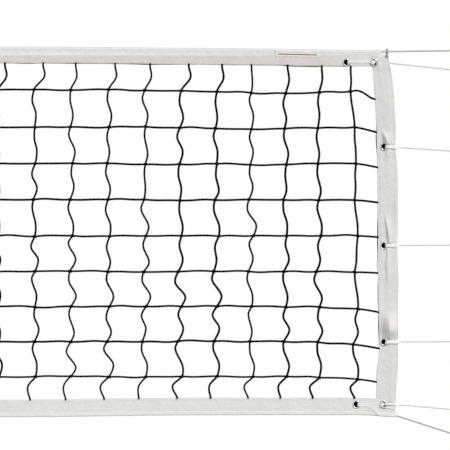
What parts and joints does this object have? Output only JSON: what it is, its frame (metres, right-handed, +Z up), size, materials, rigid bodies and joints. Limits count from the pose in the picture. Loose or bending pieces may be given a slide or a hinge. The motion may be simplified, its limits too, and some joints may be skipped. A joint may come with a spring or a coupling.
{
  "type": "volleyball net on poles",
  "caption": "Court net with taped edges, tied to two height-adjustable floor posts and tensioned by a geared hand winch.",
  "frame": {"origin": "on the floor, midway between the posts, in the plane of the net", "axes": "+X along the net towards the winch post, +Y across the net away from the crank handle, +Z up"},
  "size_m": [10.5, 0.4, 2.436],
  "materials": {
    "lower_paint": "semi-gloss powder coat",
    "mast_paint": "semi-gloss powder coat",
    "cast_collar": "matt black coat",
    "lever_paint": "gloss paint",
    "drum_paint": "grey coat",
    "plated_steel": "zinc plated",
    "gear_brass": "machined",
    "eyelet_metal": "pressed",
    "dark_clip": "darkened",
    "black_plastic": "moulded",
    "sheave_plastic": "turned",
    "cable_sheath": "plastic sheath over wire rope",
    "grip_rubber": "ribbed",
    "tape_fabric": "coated woven tape",
    "net_twine": "braided twine",
    "tie_rope": "braided rope",
    "bottom_cord": "braided line",
    "label_fabric": "blank woven patch"
  },
  "bodies": {
    "floor_stands": {"base_plate_right": "lower_paint", "base_plate_left": "lower_paint", "gussets": "lower_paint", "lower_tube_right": "lower_paint", "lower_tube_left": "lower_paint", "guide_bushes": "black_plastic", "clamp_collar_right": "cast_collar", "clamp_collar_left": "cast_collar", "clamp_bolts": "plated_steel"},
    "lever_right": {"clamp_lever_right": "lever_paint"},
    "lever_left": {"clamp_lever_left": "lever_paint"},
    "net_and_masts": {"mast_right": "mast_paint", "mast_left": "mast_paint", "mast_feet": "black_plastic", "mast_caps": "black_plastic", "sheave_axles": "plated_steel", "rope_hooks_right": "plated_steel", "rope_hooks_left": "plated_steel", "cable_peg": "plated_steel", "cable_eye": "cable_sheath", "headline_cable": "cable_sheath", "cable_winding": "cable_sheath", "winch_frame": "plated_steel", "winch_u_bolts": "plated_steel", "drum_shaft": "plated_steel", "top_tape": "tape_fabric", "bottom_tape": "tape_fabric", "side_tape_right": "tape_fabric", "side_tape_left": "tape_fabric", "net_uprights": "net_twine", "net_levels": "net_twine", "eyelets": "eyelet_metal", "corner_lashings": "tie_rope", "corner_clips": "dark_clip", "rope_loops_right": "tie_rope", "rope_loops_left": "tie_rope", "hook_loops_right": "tie_rope", "hook_loops_left": "tie_rope", "bottom_line": "bottom_cord", "label_patch": "label_fabric", "tie_rope_right_1": "tie_rope", "tie_rope_right_2": "tie_rope", "tie_rope_right_3": "tie_rope", "tie_rope_right_4": "tie_rope", "tie_rope_right_5": "tie_rope", "tie_rope_left_1": "tie_rope", "tie_rope_left_2": "tie_rope", "tie_rope_left_3": "tie_rope", "tie_rope_left_4": "tie_rope", "tie_rope_left_5": "tie_rope"},
    "pulley_right": {"sheave_right": "sheave_plastic"},
    "pulley_left": {"sheave_left": "sheave_plastic"},
    "drum": {"winch_drum": "drum_paint", "drum_gear": "gear_brass"},
    "crank": {"crank_shaft": "plated_steel", "crank_arm": "plated_steel"},
    "grip": {"crank_grip": "grip_rubber"}
  },
  "joints": [
    {"name": "net_height", "type": "slide", "parent": "floor_stands", "child": "net_and_masts", "axis": [0, 0, 1], "range_m": [-0.28, 0]},
    {"name": "clamp_right", "type": "hinge", "parent": "floor_stands", "child": "lever_right", "pos_m": [5.0735, 0.068, 1.015], "axis": [0, 0, 1], "range_deg": [0, 120]},
    {"name": "clamp_left", "type": "hinge", "parent": "floor_stands", "child": "lever_left", "pos_m": [-5.0735, 0.068, 1.015], "axis": [0, 0, 1], "range_deg": [-120, 0]},
    {"name": "pulley_turn_right", "type": "hinge", "parent": "net_and_masts", "child": "pulley_right", "pos_m": [5.0688, 0, 2.401], "axis": [0, 1, 0], "continuous": true},
    {"name": "pulley_turn_left", "type": "hinge", "parent": "net_and_masts", "child": "pulley_left", "pos_m": [-5.0688, 0, 2.401], "axis": [0, 1, 0], "continuous": true},
    {"name": "crank_turn", "type": "hinge", "parent": "net_and_masts", "child": "crank", "pos_m": [5.1328, 0, 1.55475], "axis": [0, 1, 0], "continuous": true},
    {"name": "drum_turn", "type": "hinge", "parent": "net_and_masts", "child": "drum", "pos_m": [5.1328, 0, 1.50675], "axis": [0, 1, 0], "continuous": true},
    {"name": "grip_turn", "type": "hinge", "parent": "crank", "child": "grip", "pos_m": [5.1328, 0, 1.40475], "axis": [0, 1, 0], "continuous": true}
  ],
  "couplings": [
    {"joint": "drum_turn", "follows": "crank_turn", "ratio": -0.33333},
    {"joint": "pulley_turn_right", "follows": "crank_turn", "ratio": 0.37778}
  ]
}
